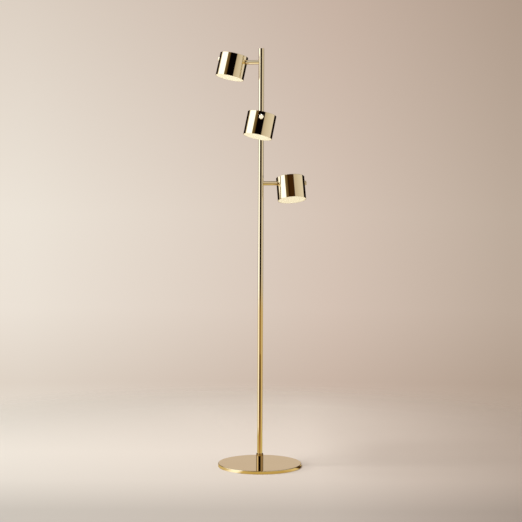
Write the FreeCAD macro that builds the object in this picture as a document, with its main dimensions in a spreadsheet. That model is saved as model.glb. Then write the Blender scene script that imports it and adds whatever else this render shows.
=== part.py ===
import FreeCAD, Part
import math
import os
import Sketcher

doc = FreeCAD.newDocument("TreeFloorLamp")

# Driving dimensions: millimetres and degrees.
# The origin is the centre of the base on the floor, +Z up, and the viewer stands at -Y.
SIZES = {
    # base
    "base_d": 300.0, "base_thick": 12.0, "cover_wall": 1.2, "cover_round": 1.5, "cover_lift": 0.6,
    "pad_inset": 7.0, "pad_thick": 1.5, "weight_gap": 0.3,
    "recess_d": 34.0, "recess_deep": 5.5, "channel_wide": 9.0, "channel_deep": 6.0,
    "gland_bore": 5.5, "gland_neck_d": 7.6, "gland_flange": 1.2,
    # threaded stack under the pole
    "nipple_d": 9.9, "nipple_bore": 7.0, "nipple_rise": 24.0, "nipple_tail": 0.3,
    "nut_flats": 17.0, "nut_thick": 3.5, "washer_d": 22.0, "washer_thick": 1.0,
    # collar
    "collar_d": 25.4, "collar_tall": 36.0, "collar_bevel": 3.0, "grub_d": 4.0, "grub_level": 13.0,
    "grub_socket_d": 2.0,
    # pole, and the steps up it: two plain tubes, then the arms and the top of the third tube
    "pole_d": 19.0, "pole_wall": 1.2, "lower_tube": 498.0, "middle_tube": 470.0,
    "lower_arm_rise": 41.5, "middle_arm_step": 218.0, "upper_arm_step": 211.5, "top_rise": 49.0,
    "insert_len": 16.0, "joiner_len": 30.0, "cap_face": 1.5, "cap_plug": 8.0, "cap_round": 0.6,
    # arms
    "arm_d": 15.0, "arm_wall": 1.2, "head_reach": 110.0,
    "upper_azimuth": 157.5, "middle_azimuth": 269.0, "lower_azimuth": 14.5,
    "block_tall": 26.0, "wire_bore": 5.0, "stud_d": 9.9, "stud_depth": 6.0, "stud_gap": 2.0,
    # head joint
    "knuckle_out": 9.5, "pin_inset": 8.0, "stem_d": 8.0, "stem_bore": 4.4, "bushing_len": 14.0,
    "flare_d": 10.5, "flare_thick": 1.5, "tongue_wide": 12.0, "tongue_nose": 7.0, "flat_gap": 2.0,
    "cheek_thick": 2.0, "cheek_drop": 7.0, "cheek_front": 6.0, "yoke_gap": 0.8,
    "pivot_d": 5.0, "pivot_thread_d": 3.9, "pivot_grip": 3.5, "pivot_head_d": 8.0, "pivot_head": 1.8,
    "tilt_limit": 15.0,
    # light heads
    "head_d": 101.6, "head_tall": 82.5, "head_wall": 1.5, "head_round": 0.8, "arm_drop": 20.6,
    "bridge_margin": 8.0, "bridge_thick": 2.0,
    "post_d": 7.0, "post_ring_d": 60.0, "post_stud_d": 4.0, "post_stud_len": 7.0, "light_rise": 26.0,
    "sink_gap": 1.3, "sink_thick": 4.0, "fin_tall": 8.0, "fin_thick": 2.0, "inner_fin": 15.0,
    "post_gap": 3.5,
    "screw_d": 3.0, "screw_head_d": 5.5, "screw_head": 1.8, "screw_len": 10.0,
    "board_inset": 6.0, "board_thick": 1.6, "chip_d": 3.0, "chip_thick": 0.7, "chip_ring": 12.6,
    "chip_margin": 5.0,
    "diffuser_face": 2.2, "diffuser_skirt": 1.8, "diffuser_tall": 11.0, "snap_deep": 0.5, "snap_tall": 2.0,
    # switch and knob
    "knob_d": 15.6, "knob_out": 7.0, "knob_lift": 0.6, "knob_round": 0.8, "knob_face": 2.1,
    "bush_d": 9.0, "ring_nut_d": 12.0, "ring_nut_thick": 2.0, "shaft_d": 6.0,
    "switch_d": 17.0, "switch_len": 12.0,
    # rest angles of the heads, from hanging straight under their arms
    "upper_roll": 12.3, "upper_tilt": 7.7, "middle_roll": -11.0, "middle_tilt": 10.8,
    "lower_roll": -17.1, "lower_tilt": 0.5,
    # clearances
    "run_gap": 0.05, "press_gap": 0.02, "hole_gap": 0.15, "face_gap": 0.15, "slot_gap": 0.4,
    "cut_past": 2.0,                                            # how far a cutter runs past a face
}

sheet = doc.addObject("Spreadsheet::Sheet", "Sizes")
for row, (alias, number) in enumerate(SIZES.items(), 1):
    sheet.set(f"A{row}", alias)
    sheet.set(f"B{row}", str(number))
    sheet.setAlias(f"B{row}", alias)
doc.recompute()


class Dim:
    """A number together with the sheet expression that gives it."""

    def __init__(self, number, text):
        self.number, self.text = number, text

    def __add__(self, other):
        other = dim(other)
        return Dim(self.number + other.number, f"({self.text} + {other.text})")

    def __sub__(self, other):
        other = dim(other)
        return Dim(self.number - other.number, f"({self.text} - {other.text})")

    def __mul__(self, other):
        other = dim(other)
        return Dim(self.number * other.number, f"({self.text} * {other.text})")

    def __truediv__(self, other):
        other = dim(other)
        return Dim(self.number / other.number, f"({self.text} / {other.text})")

    def __neg__(self):
        return Dim(-self.number, f"(0 - {self.text})")


def dim(value):
    return value if isinstance(value, Dim) else Dim(float(value), repr(float(value)))


def size(alias):
    return Dim(float(sheet.get(alias)), f"Sizes.{alias}")


def cosine(angle):
    return Dim(math.cos(math.radians(dim(angle).number)), f"cos({dim(angle).text})")


def sine(angle):
    return Dim(math.sin(math.radians(dim(angle).number)), f"sin({dim(angle).text})")


def root(value):
    return Dim(math.sqrt(value.number), f"sqrt({value.text})")


def vector_text(x, y, z):
    return f"vector({dim(x).text}; {dim(y).text}; {dim(z).text})"


def shift(x, y, z):
    return f"placement({vector_text(x, y, z)}; rotation(vector(0; 0; 1); 0))"


def turn(axis, angle):
    return f"placement(vector(0; 0; 0); rotation(vector({axis}); {dim(angle).text}))"


# ---------------------------------------------------------------- building blocks

def bind(obj, **values):
    for prop, value in values.items():
        obj.setExpression(prop, dim(value).text)
    return obj


def place(obj, frame):
    """Give a finished sub-part its place, as a chain of placements from the sheet."""
    obj.setExpression("Placement", frame)
    return obj


def origin_plane(body, role):
    return next(f for f in body.Origin.OriginFeatures if f.Role == role)


def outline(body, role, points):
    """Closed polygon sketch whose corners are all bound to the sheet."""
    sketch = body.newObject("Sketcher::SketchObject", body.Name + "Outline")
    sketch.AttachmentSupport = [(origin_plane(body, role), "")]
    sketch.MapMode = "FlatFace"
    corners = [(dim(x), dim(y)) for x, y in points]
    count = len(corners)
    for i, (x, y) in enumerate(corners):
        after = corners[(i + 1) % count]
        sketch.addGeometry(Part.LineSegment(FreeCAD.Vector(x.number, y.number, 0),
                                            FreeCAD.Vector(after[0].number, after[1].number, 0)), False)
    for i in range(count):
        sketch.addConstraint(Sketcher.Constraint("Coincident", i, 2, (i + 1) % count, 1))
    for i, corner in enumerate(corners):
        for kind, value in zip(("DistanceX", "DistanceY"), corner):
            index = sketch.addConstraint(Sketcher.Constraint(kind, -1, 1, i, 1, value.number))
            sketch.setExpression(f"Constraints[{index}]", value.text)
    return sketch


def turned(name, points, about="V_Axis"):
    """Body turned from a profile in the XZ plane, about Z (V_Axis) or X (H_Axis)."""
    body = doc.addObject("PartDesign::Body", name)
    profile = outline(body, "XZ_Plane", points)
    feature = body.newObject("PartDesign::Revolution", name + "Turning")
    feature.Profile = profile
    feature.ReferenceAxis = (profile, [about])
    feature.Angle = 360
    doc.recompute()
    return body


def soften(body, radius, chosen):
    """Round the circular edges of a turned body that chosen(edge) picks."""
    tip = body.Tip
    names = [f"Edge{i}" for i, edge in enumerate(tip.Shape.Edges, 1)
             if isinstance(edge.Curve, Part.Circle) and chosen(edge.Curve)]
    fillet = body.newObject("PartDesign::Fillet", body.Name + "Round")
    fillet.Base = (tip, names)
    fillet.setExpression("Radius", dim(radius).text)
    doc.recompute()
    return body


def tube(name, low, high, outer, inner):
    """Plain sleeve along Z between two levels."""
    return turned(name, [(inner, low), (outer, low), (outer, high), (inner, high)])


def cylinder(name, radius, length, at=(0, 0, 0), axis="0; 0; 1", angle=0):
    obj = doc.addObject("Part::Cylinder", name)
    bind(obj, Radius=radius, Height=length)
    place(obj, f"{shift(*at)} * {turn(axis, angle)}")
    return obj


def along_x(name, radius, start, end, at=(0, 0)):
    return cylinder(name, radius, dim(end) - start, (start, at[0], at[1]), "0; 1; 0", 90)


def along_y(name, radius, start, end, at=(0, 0)):
    return cylinder(name, radius, dim(end) - start, (at[0], start, at[1]), "1; 0; 0", -90)


def block(name, low, high):
    """Box between two opposite corners."""
    low, high = [dim(v) for v in low], [dim(v) for v in high]
    obj = doc.addObject("Part::Box", name)
    bind(obj, Length=high[0] - low[0], Width=high[1] - low[1], Height=high[2] - low[2])
    return place(obj, shift(*low))


def hexagon(name, flats, height, level):
    obj = doc.addObject("Part::Prism", name)
    obj.Polygon = 6
    bind(obj, Circumradius=dim(flats) / 2 / cosine(30), Height=height)
    return place(obj, shift(0, 0, level))


def joined(name, pieces):
    obj = doc.addObject("Part::MultiFuse", name)
    obj.Shapes = pieces
    obj.Refine = True
    return obj


def cut(name, base, tools):
    obj = doc.addObject("Part::Cut", name)
    obj.Base = base
    obj.Tool = tools[0] if len(tools) == 1 else joined(name + "Tools", tools)
    return obj


def group(name, pieces):
    """Several separate identical pieces kept in one node."""
    obj = doc.addObject("Part::Compound", name)
    obj.Links = pieces
    return obj


nodes = []


def keep(label, obj):
    obj.Label = label
    nodes.append(obj)
    return obj


# ---------------------------------------------------------------- shared measures

base_r = size("base_d") / 2
base_top = size("base_thick")
weight_low = size("pad_thick")
weight_top = base_top - size("cover_wall")
recess_top = weight_low + size("recess_deep")
washer_low = recess_top - size("washer_thick")
nut_low = washer_low - size("nut_thick")
nipple_r = size("nipple_d") / 2
gland_flange_r = base_top / 2 - size("cover_wall") - size("face_gap")

joint_low = base_top + size("lower_tube")
joint_high = joint_low + size("middle_tube")
lower_level = joint_high + size("lower_arm_rise")
middle_level = lower_level + size("middle_arm_step")
upper_level = middle_level + size("upper_arm_step")
LEVELS = {"upper": upper_level, "middle": middle_level, "lower": lower_level}
pole_top = upper_level + size("top_rise")

pole_r = size("pole_d") / 2
pole_bore_r = pole_r - size("pole_wall")
arm_r = size("arm_d") / 2
arm_bore_r = arm_r - size("arm_wall")
plug_r = pole_bore_r - size("press_gap")

head_r = size("head_d") / 2
head_bore_r = head_r - size("head_wall")
head_top = size("arm_drop")
head_ceiling = head_top - size("head_wall")
head_rim = head_top - size("head_tall")
pin_reach = size("head_reach") - head_r + size("pin_inset")     # pole axis to tilt axis
axis_reach = head_r - size("pin_inset")                         # tilt axis to head axis
arm_end = size("head_reach") - head_r - size("knuckle_out") - size("face_gap")
flare_start = arm_end - size("face_gap") - size("bushing_len") - size("flare_thick")
cheek_in = size("tongue_wide") / 2 + size("face_gap")
cheek_out = cheek_in + size("cheek_thick")
cheek_back = axis_reach - root(head_bore_r * head_bore_r - cheek_out * cheek_out) + size("yoke_gap")
bridge_low = head_ceiling - size("bridge_thick")
sink_low = head_rim + size("light_rise")
post_low = sink_low + size("sink_thick")
sink_r = head_bore_r - size("sink_gap")
board_r = sink_r - size("board_inset")
post_r = size("post_ring_d") / 2
POST_ANGLES = (90, 210, 330)
ARMS = ("upper", "middle", "lower")
past = size("cut_past")


def arm_frame(which):
    """Arm level on the pole's axis, with +X pointing out along the arm."""
    return f"{shift(0, 0, LEVELS[which])} * {turn('0; 0; 1', size(which + '_azimuth'))}"


def knuckle_frame(which):
    """Tilt axis at the arm's end, after the spin about the arm."""
    return f"{arm_frame(which)} * {shift(pin_reach, 0, 0)} * {turn('1; 0; 0', size(which + '_roll'))}"


def pin_frame(which):
    """Tilt axis of a head, after spin and tilt: -Z hangs along the head."""
    return f"{knuckle_frame(which)} * {turn('0; 1; 0', -size(which + '_tilt'))}"


def head_frame(which):
    """As the pin frame, but on the head's own centre line."""
    return f"{pin_frame(which)} * {shift(axis_reach, 0, 0)}"


def around(ring_r, angle):
    return dim(ring_r) * cosine(angle), dim(ring_r) * sine(angle)


# ---------------------------------------------------------------- base

def make_base_cover():
    inner_r, hole_r = base_r - size("cover_wall"), nipple_r + size("hole_gap")
    cup = turned("CoverCup", [(hole_r, weight_top), (inner_r, weight_top), (inner_r, size("cover_lift")),
                              (base_r, size("cover_lift")), (base_r, base_top), (hole_r, base_top)])
    soften(cup, size("cover_round"),
           lambda c: abs(c.Radius - base_r.number) < 1e-6 and abs(c.Center.z - base_top.number) < 1e-6)
    neck_r = size("gland_neck_d") / 2 + size("press_gap")
    hole = along_y("CoverGlandHole", neck_r, inner_r - past, base_r + past, (0, base_top / 2))
    keep("base_cover", cut("BaseCover", cup, [hole]))


def make_base_weight():
    rim_r = base_r - size("cover_wall") - size("weight_gap")
    hole_r, recess_r = nipple_r + size("hole_gap"), size("recess_d") / 2
    disc = turned("WeightDisc", [(hole_r, recess_top), (recess_r, recess_top), (recess_r, weight_low),
                                 (rim_r, weight_low), (rim_r, weight_top), (hole_r, weight_top)])
    half = size("channel_wide") / 2
    channel = block("WeightChannel", (-half, recess_r - past, weight_low - past),
                    (half, rim_r + past, weight_low + size("channel_deep")))
    pocket_half = gland_flange_r + size("weight_gap")
    pocket = block("WeightGlandPocket", (-pocket_half, rim_r - size("gland_flange") * 3, weight_low - past),
                   (pocket_half, rim_r + past, weight_top + past))
    keep("base_weight", cut("BaseWeight", disc, [channel, pocket]))


def make_base_pad():
    keep("base_pad", cylinder("BasePad", base_r - size("pad_inset"), size("pad_thick")))


def make_cord_gland():
    """Rubber gland in the rear of the rim: a flange on each side of the cover's wall."""
    flange_r, neck_r = gland_flange_r, size("gland_neck_d") / 2
    wall_in = root(base_r * base_r - flange_r * flange_r) - size("cover_wall") - size("face_gap")
    wall_out = base_r + size("face_gap")
    level = (0, base_top / 2)
    body = joined("GlandBody", [
        along_y("GlandInside", flange_r, wall_in - size("gland_flange"), wall_in, level),
        along_y("GlandNeck", neck_r, wall_in - size("gland_flange"), wall_out, level),
        along_y("GlandOutside", flange_r, wall_out, wall_out + size("gland_flange"), level)])
    bore = along_y("GlandBore", size("gland_bore") / 2, wall_in - size("gland_flange") - past,
                   wall_out + size("gland_flange") + past, level)
    keep("cord_gland", cut("CordGland", body, [bore]))


def make_base_fasteners():
    keep("base_nipple", tube("BaseNipple", nut_low - size("nipple_tail"), base_top + size("nipple_rise"),
                             nipple_r, size("nipple_bore") / 2))
    thread_r = nipple_r + size("press_gap")
    keep("base_washer", tube("BaseWasher", washer_low, recess_top, size("washer_d") / 2, thread_r))
    nut = hexagon("NutBlank", size("nut_flats"), size("nut_thick"), nut_low)
    keep("base_nut", cut("BaseNut", nut, [cylinder("NutThread", thread_r, size("nut_thick") + past * 2,
                                                   (0, 0, nut_low - past))]))


# ---------------------------------------------------------------- pole

def make_collar():
    bore_r, outer_r = pole_r + size("run_gap"), size("collar_d") / 2
    low, high, bevel = base_top, base_top + size("collar_tall"), size("collar_bevel")
    lip_r = bore_r + size("hole_gap")
    sleeve = turned("CollarSleeve", [(bore_r, low), (outer_r, low), (outer_r, high - bevel),
                                     (lip_r, high), (bore_r, high)])
    level = base_top + size("grub_level")
    thread_r = size("grub_d") / 2
    hole = along_y("CollarScrewHole", thread_r + size("press_gap"), pole_r - past, outer_r + past,
                   (0, level))
    keep("collar", cut("Collar", sleeve, [hole]))
    point, end = pole_r + size("press_gap"), outer_r - size("face_gap") * 3
    screw = along_y("GrubBlank", thread_r, point, end, (0, level))
    socket = along_y("GrubSocket", size("grub_socket_d") / 2, (point + end) / 2, end + past, (0, level))
    keep("collar_screw", cut("CollarScrew", screw, [socket]))


def make_pole():
    keep("pole_lower", tube("PoleLower", base_top, joint_low, pole_r, pole_bore_r))
    keep("pole_middle", tube("PoleMiddle", joint_low, joint_high, pole_r, pole_bore_r))
    tube_top = pole_top - size("cap_face")
    upper = tube("PoleUpperTube", joint_high, tube_top, pole_r, pole_bore_r)
    stud_hole_r = size("stud_d") / 2 + size("hole_gap")
    holes = [place(along_x(f"StudHole{i}", stud_hole_r, 0, pole_r + past), f"{arm_frame(which)} * "
                   f"{turn('0; 1; 0', 90)}") for i, which in enumerate(ARMS)]
    keep("pole_upper", cut("PoleUpper", upper, holes))
    plug_low = tube_top - size("cap_plug")
    cap = turned("TopCap", [(0, plug_low), (plug_r, plug_low), (plug_r, tube_top), (pole_r, tube_top),
                            (pole_r, pole_top), (0, pole_top)])
    soften(cap, size("cap_round"), lambda c: abs(c.Radius - pole_r.number) < 1e-6
           and abs(c.Center.z - pole_top.number) < 1e-6)
    keep("top_cap", cap)


def make_pole_joints():
    """Threaded inserts in the tube ends, and the hollow nipples that join them."""
    depth, thread_r = size("insert_len"), nipple_r + size("press_gap")
    lows = [base_top, joint_low - depth, joint_low, joint_high - depth, joint_high]
    keep("pole_inserts", group("PoleInserts", [tube(f"Insert{i}", low, low + depth, plug_r, thread_r)
                                               for i, low in enumerate(lows)]))
    half = size("joiner_len") / 2
    keep("pole_nipples", group("PoleNipples", [
        tube(f"Joiner{i}", joint - half, joint + half, nipple_r, size("nipple_bore") / 2)
        for i, joint in enumerate((joint_low, joint_high))]))


# ---------------------------------------------------------------- arms

def make_arm(which):
    """Arm tube, coped to the pole at one end and square at the head end."""
    blank = along_x(which + "ArmBlank", arm_r, 0, arm_end)
    bore = along_x(which + "ArmBore", arm_bore_r, -past, arm_end + past)
    cope = cylinder(which + "ArmCope", pole_r, size("arm_d") * 2, (0, 0, -size("arm_d")))
    keep(which + "_arm", place(cut(which + "Arm", blank, [bore, cope]), arm_frame(which)))


def make_arm_block(which):
    """Tapped block inside the pole, with an upright way for the wires behind the thread."""
    half = size("block_tall") / 2
    blank = cylinder(which + "BlockBlank", plug_r, size("block_tall"), (0, 0, -half))
    thread = along_x(which + "BlockThread", size("stud_d") / 2 + size("press_gap"),
                     pole_bore_r - size("stud_depth"), pole_bore_r + past)
    way_at = -(size("wire_bore") / 2)
    wires = cylinder(which + "BlockWires", size("wire_bore") / 2, size("block_tall") + past * 2,
                     (way_at, 0, -half - past))
    link = along_x(which + "BlockLink", size("wire_bore") / 2, way_at, pole_bore_r)
    return place(cut(which + "Block", blank, [thread, wires, link]), arm_frame(which))


def make_arm_stud(which):
    """Hollow stud: threaded into the block, plugged into the arm's tube."""
    start = pole_bore_r - size("stud_depth") + size("face_gap")
    seat, end = pole_r + size("face_gap"), flare_start - size("stud_gap")
    stud = turned(which + "Stud", [
        (start, size("wire_bore") / 2), (start, size("stud_d") / 2), (seat, size("stud_d") / 2),
        (seat, arm_bore_r - size("press_gap")), (end, arm_bore_r - size("press_gap")),
        (end, size("wire_bore") / 2)], "H_Axis")
    return place(stud, arm_frame(which))


def make_arm_bushing(which):
    """Bearing in the arm's end that the knuckle's stem turns in."""
    bushing = turned(which + "Bushing", [
        (arm_end - size("bushing_len"), size("stem_d") / 2 + size("run_gap")),
        (arm_end - size("bushing_len"), arm_bore_r - size("press_gap")),
        (arm_end, arm_bore_r - size("press_gap")),
        (arm_end, size("stem_d") / 2 + size("run_gap"))], "H_Axis")
    return place(bushing, arm_frame(which))


# ---------------------------------------------------------------- head joint

def make_knuckle(which):
    """Stem, round body through the slot, and a flat tongue between the yoke's cheeks."""
    face = -(size("pin_inset") + size("knuckle_out"))
    stem_end = face - size("face_gap") * 2 - size("bushing_len")
    bore_r, stem_r, flare_r = size("stem_bore") / 2, size("stem_d") / 2, size("flare_d") / 2
    blank = turned(which + "KnuckleBlank", [
        (stem_end - size("flare_thick"), bore_r), (stem_end - size("flare_thick"), flare_r),
        (stem_end, flare_r), (stem_end, stem_r), (face, stem_r), (face, arm_r),
        (size("tongue_nose"), arm_r), (size("tongue_nose"), bore_r)], "H_Axis")
    half, flat_back = size("tongue_wide") / 2, cheek_back - size("flat_gap")
    flats = [block(f"{which}Flat{sign}", (flat_back, low, -size("arm_d")),
                   (size("tongue_nose") + past, high, size("arm_d")))
             for sign, low, high in (("Left", half, size("arm_d")), ("Right", -size("arm_d"), -half))]
    thread = along_y(which + "PivotThread", size("pivot_thread_d") / 2 + size("press_gap"),
                     half - size("pivot_grip") - size("face_gap"), half + past)
    thread_back = along_y(which + "PivotThreadBack", size("pivot_thread_d") / 2 + size("press_gap"),
                          -half - past, -half + size("pivot_grip") + size("face_gap"))
    keep(which + "_knuckle", place(cut(which + "Knuckle", blank, flats + [thread, thread_back]),
                                   knuckle_frame(which)))


def make_pivot_screws(which):
    """Two shoulder screws, one through each cheek into the tongue."""
    half = size("tongue_wide") / 2
    shoulder_end = cheek_out + size("face_gap")
    screws = []
    for side, angle in (("Left", 0), ("Right", 180)):
        screw = turned(f"{which}Pivot{side}", [
            (half - size("pivot_grip"), 0), (half - size("pivot_grip"), size("pivot_thread_d") / 2),
            (half, size("pivot_thread_d") / 2), (half, size("pivot_d") / 2),
            (shoulder_end, size("pivot_d") / 2), (shoulder_end, size("pivot_head_d") / 2),
            (shoulder_end + size("pivot_head"), size("pivot_head_d") / 2),
            (shoulder_end + size("pivot_head"), 0)], "H_Axis")
        screws.append(place(screw, turn("0; 0; 1", dim(90) + angle)))
    keep(which + "_pivot_screws", place(group(which + "PivotScrews", screws), knuckle_frame(which)))


def make_yoke(which):
    """Bridge plate under the head's top, with two cheeks down to the tilt axis."""
    bridge = cylinder(which + "Bridge", post_r + size("bridge_margin"), size("bridge_thick"),
                      (axis_reach, 0, bridge_low))
    tab = block(which + "BridgeTab", (cheek_back, -cheek_out, bridge_low),
                (axis_reach, cheek_out, head_ceiling))
    cheeks = [block(f"{which}Cheek{side}", (cheek_back, low, -size("cheek_drop")),
                    (size("cheek_front"), high, head_ceiling))
              for side, low, high in (("Left", cheek_in, cheek_out), ("Right", -cheek_out, -cheek_in))]
    pivot = along_y(which + "CheekHole", size("pivot_d") / 2 + size("run_gap"),
                    -cheek_out - past, cheek_out + past)
    holes = []
    for angle in POST_ANGLES:
        x, y = around(post_r, angle)
        holes.append(cylinder(f"{which}BridgeHole{angle}", size("post_stud_d") / 2 + size("hole_gap"),
                              size("bridge_thick") + past * 2, (axis_reach + x, y, bridge_low - past)))
    body = joined(which + "YokeBody", [bridge, tab] + cheeks)
    keep(which + "_yoke", place(cut(which + "Yoke", body, [pivot] + holes), pin_frame(which)))


# ---------------------------------------------------------------- light heads

def make_shell(which):
    """Drum with a closed top, a snap groove, welded studs, an arm slot and a switch hole."""
    groove_mid = head_rim + size("diffuser_tall") - size("snap_tall") * 2
    groove_low, groove_high = groove_mid - size("snap_tall") / 2, groove_mid + size("snap_tall") / 2
    groove_r = head_bore_r + size("snap_deep")
    drum = turned(which + "Drum", [
        (0, head_ceiling), (head_bore_r, head_ceiling), (head_bore_r, groove_high), (groove_r, groove_high),
        (groove_r, groove_low), (head_bore_r, groove_low), (head_bore_r, head_rim), (head_r, head_rim),
        (head_r, head_top), (0, head_top)])
    soften(drum, size("head_round"), lambda c: abs(c.Radius - head_r.number) < 1e-6
           and abs(c.Center.z - head_top.number) < 1e-6)
    studs = []
    for angle in POST_ANGLES:
        x, y = around(post_r, angle)
        studs.append(cylinder(f"{which}WeldStud{angle}", size("post_stud_d") / 2,
                              size("post_stud_len") + size("head_wall") / 2,
                              (x, y, head_ceiling - size("post_stud_len"))))
    # The slot lets the knuckle swing by the tilt limit either way from level.
    slot_r = arm_r + size("slot_gap")
    swing = size("pin_inset") * sine(size("tilt_limit")) / cosine(size("tilt_limit")) \
        + arm_r / cosine(size("tilt_limit")) - arm_r
    wall_out, wall_in = -(head_r + past), past - root(head_bore_r * head_bore_r - slot_r * slot_r)
    slot = [along_x(f"{which}SlotEnd{i}", slot_r, wall_out, wall_in, (0, height))
            for i, height in enumerate((swing, -swing))]
    slot.append(block(which + "SlotMiddle", (wall_out, -slot_r, -swing), (wall_in, slot_r, swing)))
    switch_hole = along_x(which + "SwitchHole", size("bush_d") / 2 + size("hole_gap"),
                          head_bore_r - past, head_r + past)
    body = joined(which + "ShellBody", [drum] + studs)
    keep(which + "_shell", place(cut(which + "Shell", body, slot + [switch_hole]), head_frame(which)))


def make_posts(which):
    """Three posts from the bridge down to the heat sink, tapped at both ends."""
    posts = []
    for angle in POST_ANGLES:
        x, y = around(post_r, angle)
        blank = cylinder(f"{which}PostBlank{angle}", size("post_d") / 2, bridge_low - post_low,
                         (x, y, post_low))
        stud_left = size("post_stud_len") - size("bridge_thick") + size("face_gap")
        top_hole = cylinder(f"{which}PostTop{angle}", size("post_stud_d") / 2 + size("press_gap"),
                            stud_left + past, (x, y, bridge_low - stud_left))
        screw_in = size("screw_len") - size("sink_thick") + size("face_gap")
        low_hole = cylinder(f"{which}PostLow{angle}", size("screw_d") / 2 + size("press_gap"),
                            screw_in + past, (x, y, post_low - past))
        posts.append(cut(f"{which}Post{angle}", blank, [top_hole, low_hole]))
    keep(which + "_posts", place(group(which + "Posts", posts), head_frame(which)))


def make_heat_sink(which):
    """Aluminium plate with three ring fins on its upper face."""
    fin_top, thick = post_low + size("fin_tall"), size("fin_thick")
    points = [(0, sink_low), (sink_r, sink_low), (sink_r, fin_top), (sink_r - thick, fin_top),
              (sink_r - thick, post_low)]
    for edge in (post_r - size("post_d") / 2 - size("post_gap"), size("inner_fin") + thick):
        points += [(edge, post_low), (edge, fin_top), (edge - thick, fin_top), (edge - thick, post_low)]
    plate = turned(which + "SinkPlate", points + [(0, post_low)])
    holes = []
    for angle in POST_ANGLES:
        x, y = around(post_r, angle)
        holes.append(cylinder(f"{which}SinkHole{angle}", size("screw_d") / 2 + size("hole_gap"),
                              size("sink_thick") + past * 2, (x, y, sink_low - past)))
    keep(which + "_heat_sink", place(cut(which + "HeatSink", plate, holes), head_frame(which)))


def make_tray_screws(which):
    screws = []
    for angle in POST_ANGLES:
        x, y = around(post_r, angle)
        head = cylinder(f"{which}ScrewHead{angle}", size("screw_head_d") / 2, size("screw_head"),
                        (x, y, sink_low - size("screw_head")))
        shank = cylinder(f"{which}ScrewShank{angle}", size("screw_d") / 2, size("screw_len"),
                         (x, y, sink_low))
        screws.append(joined(f"{which}TrayScrew{angle}", [head, shank]))
    keep(which + "_tray_screws", place(group(which + "TrayScrews", screws), head_frame(which)))


def make_led_board(which):
    """Round board with its chips in two rings, and a hole round each tray screw."""
    board_low = sink_low - size("board_thick")
    disc = cylinder(which + "BoardDisc", board_r, size("board_thick"), (0, 0, board_low))
    chips = []
    for ring_r, count in ((size("chip_ring"), 6), (board_r - size("chip_margin"), 15)):
        for i in range(count):
            x, y = around(ring_r, POST_ANGLES[0] + 360.0 * (i + 0.5) / count)
            chips.append(cylinder(f"{which}Chip{count}x{i}", size("chip_d") / 2,
                                  size("chip_thick") + size("board_thick") / 2,
                                  (x, y, board_low - size("chip_thick"))))
    holes = []
    for angle in POST_ANGLES:
        x, y = around(post_r, angle)
        holes.append(cylinder(f"{which}BoardHole{angle}", size("screw_head_d") / 2 + size("hole_gap") * 3,
                              size("board_thick") + past * 2, (x, y, board_low - past)))
    body = joined(which + "BoardBody", [disc] + chips)
    keep(which + "_led_board", place(cut(which + "LedBoard", body, holes), head_frame(which)))


def make_diffuser(which):
    """Opal cup, flush with the rim, whose bead snaps into the shell's groove."""
    outer_r = head_bore_r - size("hole_gap")
    inner_r = outer_r - size("diffuser_skirt")
    top = head_rim + size("diffuser_tall")
    bead_mid = top - size("snap_tall") * 2
    bead_low, bead_high = bead_mid - size("snap_tall") / 2 + size("hole_gap"), \
        bead_mid + size("snap_tall") / 2 - size("hole_gap")
    bead_r = head_bore_r + size("snap_deep") - size("hole_gap")
    diffuser = turned(which + "Diffuser", [
        (0, head_rim), (outer_r, head_rim), (outer_r, bead_low), (bead_r, bead_low), (bead_r, bead_high),
        (outer_r, bead_high), (outer_r, top), (inner_r, top), (inner_r, head_rim + size("diffuser_face")),
        (0, head_rim + size("diffuser_face"))])
    keep(which + "_diffuser", place(diffuser, head_frame(which)))


# ---------------------------------------------------------------- switch and knob

def make_switch(which):
    """Rotary dimmer body behind the wall, its bush through the wall, nut, shaft and knob."""
    switch_r = size("switch_d") / 2
    front = root(head_bore_r * head_bore_r - switch_r * switch_r) - size("face_gap")
    nut_face = head_r + size("press_gap")
    nut_end = nut_face + size("ring_nut_thick")
    bush_end = nut_end + size("hole_gap")
    shaft_run_r = size("shaft_d") / 2 + size("run_gap")
    knob_start = head_r + size("knob_lift")
    knob_end = head_r + size("knob_out")
    shaft_end = knob_end - size("knob_face") + size("press_gap")
    shaft_start = front - size("switch_len") / 2

    body = turned(which + "Switch", [
        (front - size("switch_len"), 0), (front - size("switch_len"), switch_r),
        (front, switch_r), (front, size("bush_d") / 2), (bush_end, size("bush_d") / 2),
        (bush_end, shaft_run_r), (shaft_start - size("face_gap"), shaft_run_r),
        (shaft_start - size("face_gap"), 0)], "H_Axis")
    keep(which + "_switch", place(body, head_frame(which)))

    nut = turned(which + "RingNut", [
        (nut_face, size("bush_d") / 2 + size("press_gap")), (nut_face, size("ring_nut_d") / 2),
        (nut_end, size("ring_nut_d") / 2), (nut_end, size("bush_d") / 2 + size("press_gap"))], "H_Axis")
    keep(which + "_ring_nut", place(nut, head_frame(which)))

    shaft_tip = shaft_end - size("press_gap") * 2
    shaft = turned(which + "Shaft", [
        (shaft_start, 0), (shaft_start, size("shaft_d") / 2), (shaft_tip, size("shaft_d") / 2),
        (shaft_tip, 0)], "H_Axis")
    keep(which + "_switch_shaft", place(shaft, head_frame(which)))

    hollow_r = size("ring_nut_d") / 2 + size("hole_gap") * 2
    hollow_end = bush_end + size("hole_gap")
    knob = turned(which + "Knob", [
        (knob_start, hollow_r), (knob_start, size("knob_d") / 2), (knob_end, size("knob_d") / 2),
        (knob_end, 0), (shaft_end, 0), (shaft_end, size("shaft_d") / 2 + size("press_gap")),
        (hollow_end, size("shaft_d") / 2 + size("press_gap")), (hollow_end, hollow_r)], "H_Axis")
    soften(knob, size("knob_round"), lambda c: abs(c.Radius - size("knob_d").number / 2) < 1e-6
           and abs(c.Center.x - knob_end.number) < 1e-6)
    keep(which + "_knob", place(knob, head_frame(which)))


# ---------------------------------------------------------------- assembly

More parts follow.
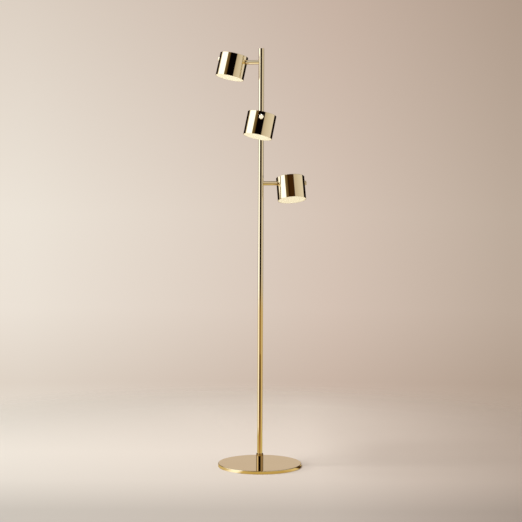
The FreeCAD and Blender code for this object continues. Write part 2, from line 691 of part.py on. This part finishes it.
make_base_cover()
make_base_weight()
make_base_pad()
make_cord_gland()
make_base_fasteners()
make_collar()
make_pole()
make_pole_joints()
keep("arm_blocks", group("ArmBlocks", [make_arm_block(which) for which in ARMS]))
keep("arm_studs", group("ArmStuds", [make_arm_stud(which) for which in ARMS]))
keep("arm_bushings", group("ArmBushings", [make_arm_bushing(which) for which in ARMS]))
for which in ARMS:
    make_arm(which)
    make_knuckle(which)
    make_pivot_screws(which)
    make_yoke(which)
    make_shell(which)
    make_posts(which)
    make_heat_sink(which)
    make_tray_screws(which)
    make_led_board(which)
    make_diffuser(which)
    make_switch(which)

doc.recompute()
broken = [obj.Name for obj in doc.Objects if "Invalid" in obj.State or "Error" in obj.State]
if broken:
    raise RuntimeError(f"failed features: {broken}")
for obj in nodes:
    if obj.Shape.isNull() or not obj.Shape.isValid() or not obj.Shape.Solids:
        raise RuntimeError(f"bad shape: {obj.Label}")

os.makedirs("parts", exist_ok=True)
for obj in nodes:
    obj.Shape.exportStep(f"parts/{obj.Label}.step")
    print(f"{obj.Label}: {len(obj.Shape.Solids)} solid(s), {obj.Shape.Volume / 1000:.2f} cm3")
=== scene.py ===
import bpy
from math import radians, pi
from mathutils import Matrix

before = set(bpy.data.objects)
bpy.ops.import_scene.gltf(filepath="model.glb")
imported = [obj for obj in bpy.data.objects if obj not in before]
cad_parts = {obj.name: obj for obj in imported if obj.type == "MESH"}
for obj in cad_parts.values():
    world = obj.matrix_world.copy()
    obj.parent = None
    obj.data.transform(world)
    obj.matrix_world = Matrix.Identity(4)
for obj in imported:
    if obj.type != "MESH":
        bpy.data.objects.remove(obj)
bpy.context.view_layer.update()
bpy.ops.object.select_all(action="DESELECT")
print("frame loaded:", len(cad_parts), "nodes")


# camera

cameraSet = {
    "place": (0.0016, -5.940, 1.221),
    "lens": 114.8,
    "sensor": 36,
    "pitch": 4.594,      # degrees below level
    "roll": 0.24,        # the pole leans a hair to the right in the picture
}


def makeCamera():
    bpy.ops.object.camera_add(location=cameraSet["place"])
    cam = bpy.context.object
    cam.name = "photoCamera"
    cam.data.lens = cameraSet["lens"]
    cam.data.sensor_width = cameraSet["sensor"]
    look = Matrix.Rotation(radians(90 - cameraSet["pitch"]), 4, "X")
    roll = Matrix.Rotation(radians(cameraSet["roll"]), 4, "Z")
    cam.matrix_world = Matrix.Translation(cameraSet["place"]) @ look @ roll
    bpy.context.scene.camera = cam


# small helpers for node trees

def link(tree, a, b):
    tree.links.new(a, b)


def mathNode(tree, kind, a, b=None, c=None, clamp=False):
    node = tree.nodes.new("ShaderNodeMath")
    node.operation = kind
    node.use_clamp = clamp
    for i, v in enumerate((a, b, c)):
        if v is None:
            continue
        if isinstance(v, (int, float)):
            node.inputs[i].default_value = v
        else:
            link(tree, v, node.inputs[i])
    return node.outputs[0]


def rampNode(tree, fac, stops):
    node = tree.nodes.new("ShaderNodeValToRGB")
    els = node.color_ramp.elements
    while len(els) > 1:
        els.remove(els[-1])
    els[0].position = stops[0][0]
    els[0].color = (*stops[0][1], 1)
    for pos, col in stops[1:]:
        els.new(pos).color = (*col, 1)
    link(tree, fac, node.inputs[0])
    return node.outputs[0]


def mixColour(tree, fac, a, b, blend="MIX"):
    node = tree.nodes.new("ShaderNodeMix")
    node.data_type = "RGBA"
    node.blend_type = blend
    for sock, v in ((node.inputs[0], fac), (node.inputs[6], a), (node.inputs[7], b)):
        if isinstance(v, (int, float)):
            sock.default_value = v
        elif isinstance(v, tuple):
            sock.default_value = (*v, 1)
        else:
            link(tree, v, sock)
    return node.outputs[2]


def scaleColour(tree, colour, amount):
    node = tree.nodes.new("ShaderNodeVectorMath")
    node.operation = "SCALE"
    link(tree, colour, node.inputs[0])
    node.inputs["Scale"].default_value = amount
    return node.outputs[0]


def grey(v):
    return (v, v, v)


def roundStops(stops):
    return [((deg + 180) / 360, col) for deg, col in stops]


# studio: floor, light and what the metal sees round the room

studioSet = {
    "floorRadius": 3.0,
    # degrees round the lamp, 0 towards the camera and + to its right: what is there
    "bands": [
        (-180, (0.61, 0.49, 0.38)), (-174, (0.61, 0.49, 0.38)), (-171, (0.006, 0.002, 0.001)),
        (-127, (0.006, 0.002, 0.001)), (-123, (0.30, 0.21, 0.12)), (-115, (0.85, 0.78, 0.68)), (-109, (1.5, 1.5, 1.5)),
        (-53, (1.5, 1.5, 1.5)), (-50, (0.22, 0.16, 0.07)), (-30, (0.13, 0.075, 0.025)), (-24, (0.002, 0.001, 0.001)),
        (27, (0.002, 0.001, 0.001)), (30, (0.54, 0.45, 0.34)), (60, (0.67, 0.59, 0.48)),
        (108, (0.76, 0.68, 0.58)), (117, (0.74, 0.66, 0.56)), (121, (0.006, 0.002, 0.001)),
        (171, (0.006, 0.002, 0.001)), (174, (0.61, 0.49, 0.38)), (180, (0.61, 0.49, 0.38)),
    ],
    "bandTop": 2.0,      # ramp colours are stored divided by this
    # over the bands, as shares of a turn from behind the lamp
    "ceiling": [
        (0.0, (0.13, 0.07, 0.025)), (0.17, (0.12, 0.06, 0.02)), (0.18, (0.9, 0.9, 0.9)), (0.35, (0.9, 0.9, 0.9)),
        (0.36, (0.18, 0.11, 0.045)), (0.40, (0.11, 0.05, 0.014)), (0.43, (0.05, 0.019, 0.004)),
        (0.577, (0.05, 0.019, 0.004)), (0.585, (0.60, 0.51, 0.40)), (0.84, (0.76, 0.68, 0.58)),
        (0.855, (0.02, 0.01, 0.003)), (0.95, (0.02, 0.01, 0.003)), (1.0, (0.13, 0.07, 0.025)),
    ],
    "ceilingFrom": (26, 30),      # degrees above level where it takes over
    "groundFrom": (-6.2, -5.4),   # and where the ground ends
    "frontShare": (0.36, 0.41, 0.575, 0.60),      # of a turn: where the painted reflection of the floor in front comes in and goes out
    "nearShare": (0.20, 0.27),    # shares of the floor's radius: the painted gold reflection near the foot ends
    "closeShare": (0.072, 0.088), # the ring of painted reflections close round the base ends
    "fadeShare": (0.44, 0.64),    # the camera's view of the floor ends
    "floorSpan": 2.2,    # metres that floorAcross and floorAlong cover
    "floorFront": 0.7,   # of them, in front of the lamp
    "floorLift": 1.4,    # floorAlong is stored divided by this
    "floorRough": 0.9,
    "floorShine": 0.1,
    "paperSpan": (28, 24),        # degrees that paperAcross and paperUp cover
    # painted reflection: what polished metal sees of the floor in front, from the base outwards, as colours the floor
    # glows with for glossy rays
    "paintedFloorReflection": [
        (0.05, (0.52, 0.31, 0.095)), (0.10, (0.46, 0.25, 0.07)), (0.15, (0.40, 0.19, 0.045)),
        (0.25, (0.24, 0.11, 0.015)),
        (0.40, (0.13, 0.055, 0.006)), (0.62, (0.09, 0.035, 0.004)), (0.87, (0.15, 0.075, 0.015)),
        (1.0, (0.20, 0.10, 0.015)),
    ],
    # and all round, in the same degrees as the bands: painted reflection colours with a painted highlight to the left,
    # also the world's ground
    "paintedRoundReflection": [
        (-180, (0.28, 0.17, 0.07)), (-125, (0.50, 0.36, 0.18)), (-112, (1.10, 1.00, 0.80)), (-51, (1.10, 1.00, 0.80)),
        (-44, (0.34, 0.20, 0.06)), (0, (0.20, 0.10, 0.02)), (32, (0.52, 0.36, 0.14)), (60, (0.66, 0.50, 0.24)),
        (120, (0.66, 0.50, 0.24)), (135, (0.30, 0.18, 0.06)), (180, (0.28, 0.17, 0.07)),
    ],
    "paintedNearGold": (0.60, 0.46, 0.19),      # painted gold reflection within reach of the pole's foot
    # painted reflections close round the base: a painted highlight at the left front and painted dark streaks to the
    # right
    "paintedCloseReflection": [
        (-180, (0.50, 0.33, 0.12)), (-110, (0.50, 0.33, 0.12)), (-90, (0.60, 0.44, 0.18)), (-61, (0.66, 0.50, 0.24)),
        (-47, (1.20, 1.10, 0.90)), (-36, (1.20, 1.10, 0.90)), (-28, (0.62, 0.44, 0.16)), (-12, (0.54, 0.375, 0.12)),
        (40, (0.54, 0.37, 0.12)), (62, (0.72, 0.54, 0.25)), (70, (0.70, 0.52, 0.24)), (76, (0.07, 0.03, 0.006)),
        (88, (0.07, 0.03, 0.006)), (94, (0.66, 0.46, 0.20)), (102, (0.60, 0.42, 0.16)), (108, (0.08, 0.035, 0.008)),
        (140, (0.12, 0.06, 0.02)), (180, (0.50, 0.33, 0.12)),
    ],
    # floor paper across the picture, metres from the lamp to its right: its own pale colour with painted light,
    # lighter to the left and darker to the right
    "floorAcross": [
        (-1.1, (0.63, 0.60, 0.55)), (0.2, (0.69, 0.62, 0.56)), (0.55, (0.62, 0.54, 0.48)), (1.1, (0.51, 0.43, 0.37)),
    ],
    # and away from the camera: painted shade, darker in front and lighter further back
    "floorAlong": [
        (-0.7, 0.72), (-0.25, 0.96), (0.25, 1.11), (1.5, 1.20),
    ],
    # backdrop paper: degrees to the right of the picture's middle; painted light, lighter to the left and darker to
    # the right
    "paperAcross": [
        (-14, (0.89, 0.82, 0.73)), (-8, (0.84, 0.77, 0.68)), (2.5, (0.67, 0.55, 0.465)), (8.5, (0.515, 0.415, 0.335)),
        (14, (0.46, 0.37, 0.29)),
    ],
    # and degrees above level: painted light, darker upward, with a painted shadow band where the floor meets the
    # backdrop
    "paperUp": [
        (-12, (1.0, 1.0, 1.0)), (-10, (0.95, 0.94, 0.93)), (-8.7, (0.88, 0.845, 0.825)), (-6.2, (0.99, 0.98, 0.98)),
        (-3, (1.0, 1.0, 1.0)), (4.5, (0.85, 0.81, 0.79)), (12, (0.78, 0.75, 0.72)),
    ],
}


def switchAt(key, *levels):
    return [(at, grey(v)) for at, v in zip(studioSet[key], levels)]


def makeWorld():
    world = bpy.data.worlds.new("studioRoom")
    bpy.context.scene.world = world
    world.use_nodes = True
    tree = world.node_tree
    tree.nodes.clear()
    coord = tree.nodes.new("ShaderNodeTexCoord")
    split = tree.nodes.new("ShaderNodeSeparateXYZ")
    link(tree, coord.outputs["Generated"], split.inputs[0])
    x, y, z = split.outputs
    back = mathNode(tree, "MULTIPLY", y, -1.0)
    azimuth = mathNode(tree, "MULTIPLY_ADD", mathNode(tree, "ARCTAN2", x, back), 1 / (2 * pi), 0.5)
    height = mathNode(tree, "MULTIPLY_ADD", mathNode(tree, "ARCSINE", z), 1 / pi, 0.5)

    def up(degrees):
        return degrees / 180 + 0.5

    top = studioSet["bandTop"]
    stops = [(at, tuple(c / top for c in col)) for at, col in roundStops(studioSet["bands"])]
    level = scaleColour(tree, rampNode(tree, azimuth, stops), top)
    ceiling = rampNode(tree, azimuth, studioSet["ceiling"])
    fromUp, toUp = studioSet["ceilingFrom"]
    fromDown, toDown = studioSet["groundFrom"]
    upper = rampNode(tree, height, [(up(fromUp), grey(0)), (up(toUp), grey(1))])
    lower = rampNode(tree, height, [(up(fromDown), grey(1)), (up(toDown), grey(0))])
    ground = rampNode(tree, azimuth, roundStops(studioSet["paintedRoundReflection"]))
    room = mixColour(tree, upper, level, ceiling)
    room = mixColour(tree, lower, room, ground)

    # paper behind the lamp, for the camera only, with painted light: lighter to the left, darker upward, and a painted
    # shadow band where the floor meets it
    wide, tall = studioSet["paperSpan"]
    turned = mathNode(tree, "ARCTAN2", x, y)
    spread = mathNode(tree, "MULTIPLY_ADD", turned, 180 / pi / wide, 0.5, clamp=True)
    across = rampNode(tree, spread, [((deg + wide / 2) / wide, col) for deg, col in studioSet["paperAcross"]])
    rise = mathNode(tree, "MULTIPLY_ADD", mathNode(tree, "ARCSINE", z), 180 / pi / tall, 0.5, clamp=True)
    upward = rampNode(tree, rise, [((deg + tall / 2) / tall, col) for deg, col in studioSet["paperUp"]])
    paper = tree.nodes.new("ShaderNodeBackground")
    link(tree, mixColour(tree, 1.0, across, upward, "MULTIPLY"), paper.inputs[0])
    studio = tree.nodes.new("ShaderNodeBackground")
    link(tree, room, studio.inputs[0])
    path = tree.nodes.new("ShaderNodeLightPath")
    mix = tree.nodes.new("ShaderNodeMixShader")
    link(tree, path.outputs["Is Camera Ray"], mix.inputs[0])
    link(tree, studio.outputs[0], mix.inputs[1])
    link(tree, paper.outputs[0], mix.inputs[2])
    out = tree.nodes.new("ShaderNodeOutputWorld")
    link(tree, mix.outputs[0], out.inputs[0])


def makeFloor():
    radius, span, lift = studioSet["floorRadius"], studioSet["floorSpan"], studioSet["floorLift"]
    bpy.ops.mesh.primitive_circle_add(vertices=128, radius=radius, fill_type="NGON", location=(0, 0, 0))
    floor = bpy.context.object
    floor.name = "studioFloor"
    mat = bpy.data.materials.new("paperFloor")
    mat.use_nodes = True
    tree = mat.node_tree
    shader = tree.nodes["Principled BSDF"]
    coord = tree.nodes.new("ShaderNodeTexCoord")
    reach = tree.nodes.new("ShaderNodeVectorMath")
    reach.operation = "LENGTH"
    link(tree, coord.outputs["Object"], reach.inputs[0])
    away = mathNode(tree, "DIVIDE", reach.outputs["Value"], radius, clamp=True)
    split = tree.nodes.new("ShaderNodeSeparateXYZ")
    link(tree, coord.outputs["Object"], split.inputs[0])
    # painted light on the floor: lighter to the left, darker to the right and towards the front
    side = mathNode(tree, "MULTIPLY_ADD", split.outputs[0], 1 / span, 0.5, clamp=True)
    across = rampNode(tree, side, [((m + span / 2) / span, col) for m, col in studioSet["floorAcross"]])
    front = studioSet["floorFront"]
    deep = mathNode(tree, "MULTIPLY_ADD", split.outputs[1], 1 / span, front / span, clamp=True)
    along = rampNode(tree, deep, [((m + front) / span, grey(v / lift)) for m, v in studioSet["floorAlong"]])
    colour = scaleColour(tree, mixColour(tree, 1.0, across, along, "MULTIPLY"), lift)
    link(tree, colour, shader.inputs["Base Color"])
    shader.inputs["Roughness"].default_value = studioSet["floorRough"]
    shader.inputs["Specular IOR Level"].default_value = studioSet["floorShine"]
    # polished metal sees painted reflections: for glossy rays the floor glows with set colours, gold round the foot,
    # with a painted highlight and painted dark streaks close round the base
    path = tree.nodes.new("ShaderNodeLightPath")
    reflectionGlow = tree.nodes.new("ShaderNodeEmission")
    angle = mathNode(tree, "ARCTAN2", split.outputs[0], mathNode(tree, "MULTIPLY", split.outputs[1], -1.0))
    azimuth = mathNode(tree, "MULTIPLY_ADD", angle, 1 / (2 * pi), 0.5)
    # painted reflection colours all round the lamp, seen by glossy rays
    allRound = rampNode(tree, azimuth, roundStops(studioSet["paintedRoundReflection"]))
    # painted gold reflection near the pole's foot
    near = rampNode(tree, away, switchAt("nearShare", 1, 0))
    allRound = mixColour(tree, near, allRound, studioSet["paintedNearGold"])
    inFront = rampNode(tree, azimuth, switchAt("frontShare", 0, 1, 1, 0))
    # painted reflection of the floor in front of the lamp
    floorSeen = mixColour(tree, inFront, allRound, rampNode(tree, away, studioSet["paintedFloorReflection"]))
    # painted highlight and painted dark streaks for the base's side
    closeRound = rampNode(tree, azimuth, roundStops(studioSet["paintedCloseReflection"]))
    close = rampNode(tree, away, switchAt("closeShare", 1, 0))
    link(tree, mixColour(tree, close, floorSeen, closeRound), reflectionGlow.inputs[0])
    seen = tree.nodes.new("ShaderNodeMixShader")
    link(tree, path.outputs["Is Glossy Ray"], seen.inputs[0])
    link(tree, shader.outputs[0], seen.inputs[1])
    link(tree, reflectionGlow.outputs[0], seen.inputs[2])
    # the paper's far edge melts into the backdrop for the camera
    clear = tree.nodes.new("ShaderNodeBsdfTransparent")
    fade = rampNode(tree, away, switchAt("fadeShare", 0, 1))
    fade = mathNode(tree, "MULTIPLY", fade, path.outputs["Is Camera Ray"])
    mix = tree.nodes.new("ShaderNodeMixShader")
    link(tree, fade, mix.inputs[0])
    link(tree, seen.outputs[0], mix.inputs[1])
    link(tree, clear.outputs[0], mix.inputs[2])
    link(tree, mix.outputs[0], tree.nodes["Material Output"].inputs[0])
    floor.data.materials.append(mat)


# place, turn in degrees, size, watts and spread in degrees
lampSet = {
    "overheadSoftbox": ((-1.2, -0.6, 3.4), (-8, -20, 0), (1.2, 1.2), 98, 180),
    "leftWindow": ((-3.5, -0.35, 1.0), (0, -76, 0), (0.5, 1.0), 38, 180),      # low, for the shadow to the right
    "knobSpot": ((0.0, -0.76, 1.86), (45, 0, 0), (0.1, 0.1), 0.05, 20),        # narrow, for the front knob
}


def areaLamp(name, place, turn, size, watts, spread):
    bpy.ops.object.light_add(type="AREA", location=place, rotation=[radians(a) for a in turn])
    lamp = bpy.context.object
    lamp.name = name
    lamp.data.shape = "RECTANGLE"
    lamp.data.size, lamp.data.size_y = size
    lamp.data.energy = watts
    lamp.data.spread = radians(spread)
    lamp.visible_glossy = False
    lamp.visible_camera = False


makeCamera()
makeWorld()
makeFloor()
for name, values in lampSet.items():
    areaLamp(name, *values)
print("studio ready")


# finishes

brassSet = {
    "colour": (0.95, 0.86, 0.64), "collar": (0.44, 0.31, 0.15),
    "dull": 0.025, "smudge": 0.045, "smudgeScale": 9.0, "shade": (0.985, 0.98, 0.965),
}
satinSet = {
    "colour": (1.0, 0.93, 0.74), "rough": 0.40, "metal": 0.15, "grain": 900.0,
    "shade": 0.94, "bump": 0.15, "depth": 0.0002,
}
turnedSet = {
    "colour": (0.93, 0.80, 0.52), "rough": 0.16, "ring": 1400.0, "cloud": 60.0,
    "shade": 0.95, "bump": 0.06, "depth": 0.0001,
}
opalSet = {
    "colour": (0.92, 0.88, 0.78), "glow": (1.0, 0.95, 0.63), "strength": 0.47, "rough": 0.34,
    "cloud": 14.0, "fine": 800.0, "shade": 0.985,
}
plainRough = (-0.06, 0.08)      # how far roughness strays from a plain finish's own
steelSet = {
    "colour": (0.66, 0.67, 0.68), "rough": 0.30, "grain": 260.0,
    "metal": 1.0, "spread": 0.12, "bump": 0.05, "depth": 0.0001,
}
ironSet = {
    "colour": (0.045, 0.045, 0.048), "rough": 0.62, "grain": 420.0,
    "metal": 0.0, "spread": 0.25, "bump": 0.5, "depth": 0.0006,
}
sinkSet = {
    "colour": (0.80, 0.81, 0.82), "rough": 0.26, "grain": 700.0,
    "metal": 1.0, "spread": 0.06, "bump": 0.08, "depth": 0.0001,
}
rubberSet = {
    "colour": (0.018, 0.018, 0.018), "rough": 0.78, "grain": 600.0,
    "metal": 0.0, "spread": 0.2, "bump": 0.35, "depth": 0.0003,
}
blackPlasticSet = {
    "colour": (0.012, 0.012, 0.013), "rough": 0.42, "grain": 1100.0,
    "metal": 0.0, "spread": 0.15, "bump": 0.15, "depth": 0.0001,
}
palePlasticSet = {
    "colour": (0.62, 0.60, 0.53), "rough": 0.46, "grain": 900.0,
    "metal": 0.0, "spread": 0.05, "bump": 0.12, "depth": 0.0001,
}
boardSet = {
    "colour": (0.82, 0.82, 0.77), "rough": 0.38, "grain": 500.0,
    "metal": 0.0, "spread": 0.04, "bump": 0.1, "depth": 0.0001,
}


def newMaterial(name):
    mat = bpy.data.materials.new(name)
    mat.use_nodes = True
    return mat, mat.node_tree, mat.node_tree.nodes["Principled BSDF"]


def noiseNode(tree, scale, detail=3.0):
    coord = tree.nodes.new("ShaderNodeTexCoord")
    node = tree.nodes.new("ShaderNodeTexNoise")
    node.inputs["Scale"].default_value = scale
    node.inputs["Detail"].default_value = detail
    link(tree, coord.outputs["Object"], node.inputs["Vector"])
    return node.outputs["Fac"]


def bumpFrom(tree, shader, height, strength, distance):
    node = tree.nodes.new("ShaderNodeBump")
    node.inputs["Strength"].default_value = strength
    node.inputs["Distance"].default_value = distance
    link(tree, height, node.inputs["Height"])
    link(tree, node.outputs[0], shader.inputs["Normal"])


def tint(colour, amount):
    return tuple(min(1.0, c * amount) for c in colour)


def shadeFrom(tree, shader, fac, dark, light):
    link(tree, rampNode(tree, fac, [(0.3, dark), (0.7, light)]), shader.inputs["Base Color"])


def roughFrom(tree, shader, fac, low, high, stops=(0.3, 0.7)):
    ramp = rampNode(tree, fac, [(stops[0], grey(low)), (stops[1], grey(high))])
    link(tree, ramp, shader.inputs["Roughness"])


def makeBrass(name="mirrorBrass", colour=brassSet["colour"]):
    mat, tree, shader = newMaterial(name)
    shader.inputs["Metallic"].default_value = 1.0
    cloud = noiseNode(tree, brassSet["smudgeScale"])
    dark = tuple(c * k for c, k in zip(colour, brassSet["shade"]))
    shadeFrom(tree, shader, cloud, dark, colour)
    roughFrom(tree, shader, cloud, brassSet["dull"], brassSet["smudge"], (0.35, 0.75))
    return mat


def makeSatin():
    mat, tree, shader = newMaterial("satinChampagne")
    shader.inputs["Metallic"].default_value = satinSet["metal"]
    grain = noiseNode(tree, satinSet["grain"], 2.0)
    shadeFrom(tree, shader, grain, tint(satinSet["colour"], satinSet["shade"]), satinSet["colour"])
    roughFrom(tree, shader, grain, satinSet["rough"] - 0.05, satinSet["rough"] + 0.05)
    bumpFrom(tree, shader, grain, satinSet["bump"], satinSet["depth"])
    return mat


def makeTurned():
    mat, tree, shader = newMaterial("turnedBrass")
    shader.inputs["Metallic"].default_value = 1.0
    cloud = noiseNode(tree, turnedSet["cloud"])
    shadeFrom(tree, shader, cloud, tint(turnedSet["colour"], turnedSet["shade"]), turnedSet["colour"])
    roughFrom(tree, shader, cloud, turnedSet["rough"] - 0.04, turnedSet["rough"] + 0.05)
    coord = tree.nodes.new("ShaderNodeTexCoord")
    rings = tree.nodes.new("ShaderNodeTexWave")
    rings.wave_type = "RINGS"
    rings.rings_direction = "SPHERICAL"
    rings.inputs["Scale"].default_value = turnedSet["ring"]
    link(tree, coord.outputs["Object"], rings.inputs["Vector"])
    bumpFrom(tree, shader, rings.outputs["Fac"], turnedSet["bump"], turnedSet["depth"])
    return mat


def makeOpal():
    mat, tree, shader = newMaterial("litOpal")
    cloud = noiseNode(tree, opalSet["cloud"], 2.0)
    shadeFrom(tree, shader, cloud, tint(opalSet["colour"], opalSet["shade"]), opalSet["colour"])
    fine = noiseNode(tree, opalSet["fine"], 2.0)
    roughFrom(tree, shader, fine, opalSet["rough"] - 0.03, opalSet["rough"] + 0.03)
    shader.inputs["Emission Color"].default_value = (*opalSet["glow"], 1)
    shader.inputs["Emission Strength"].default_value = opalSet["strength"]
    return mat


def makePlain(name, values):
    mat, tree, shader = newMaterial(name)
    shader.inputs["Metallic"].default_value = values["metal"]
    grain = noiseNode(tree, values["grain"])
    dark, light = (tint(values["colour"], 1 + sign * values["spread"]) for sign in (-1, 1))
    shadeFrom(tree, shader, grain, dark, light)
    roughFrom(tree, shader, grain, values["rough"] + plainRough[0], values["rough"] + plainRough[1])
    bumpFrom(tree, shader, grain, values["bump"], values["depth"])
    return mat


finishes = {
    "polished_brass": makeBrass(),
    "turned_brass": makeTurned(),
    "opal_diffuser": makeOpal(),
    "zinc_steel": makePlain("zincSteel", steelSet),
    "cast_iron": makePlain("paintedIron", ironSet),
    "sink_aluminium": makePlain("sinkAluminium", sinkSet),
    "black_rubber": makePlain("blackRubber", rubberSet),
    "switch_plastic": makePlain("blackPlastic", blackPlasticSet),
    "bearing_plastic": makePlain("palePlastic", palePlasticSet),
    "circuit_board": makePlain("whiteBoard", boardSet),
}
satin = makeSatin()
# the collar gets a darker brass colour than the rest
darkCollar = makeBrass("darkCollarBrass", brassSet["collar"])
for name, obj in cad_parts.items():
    for slot in obj.material_slots:
        if slot.material and slot.material.name in finishes:
            slot.material = finishes[slot.material.name]
            if name.endswith("_knob"):
                slot.material = satin
            elif name == "collar":
                slot.material = darkCollar
print("finishes set")

bpy.context.scene.view_settings.view_transform = "Standard"
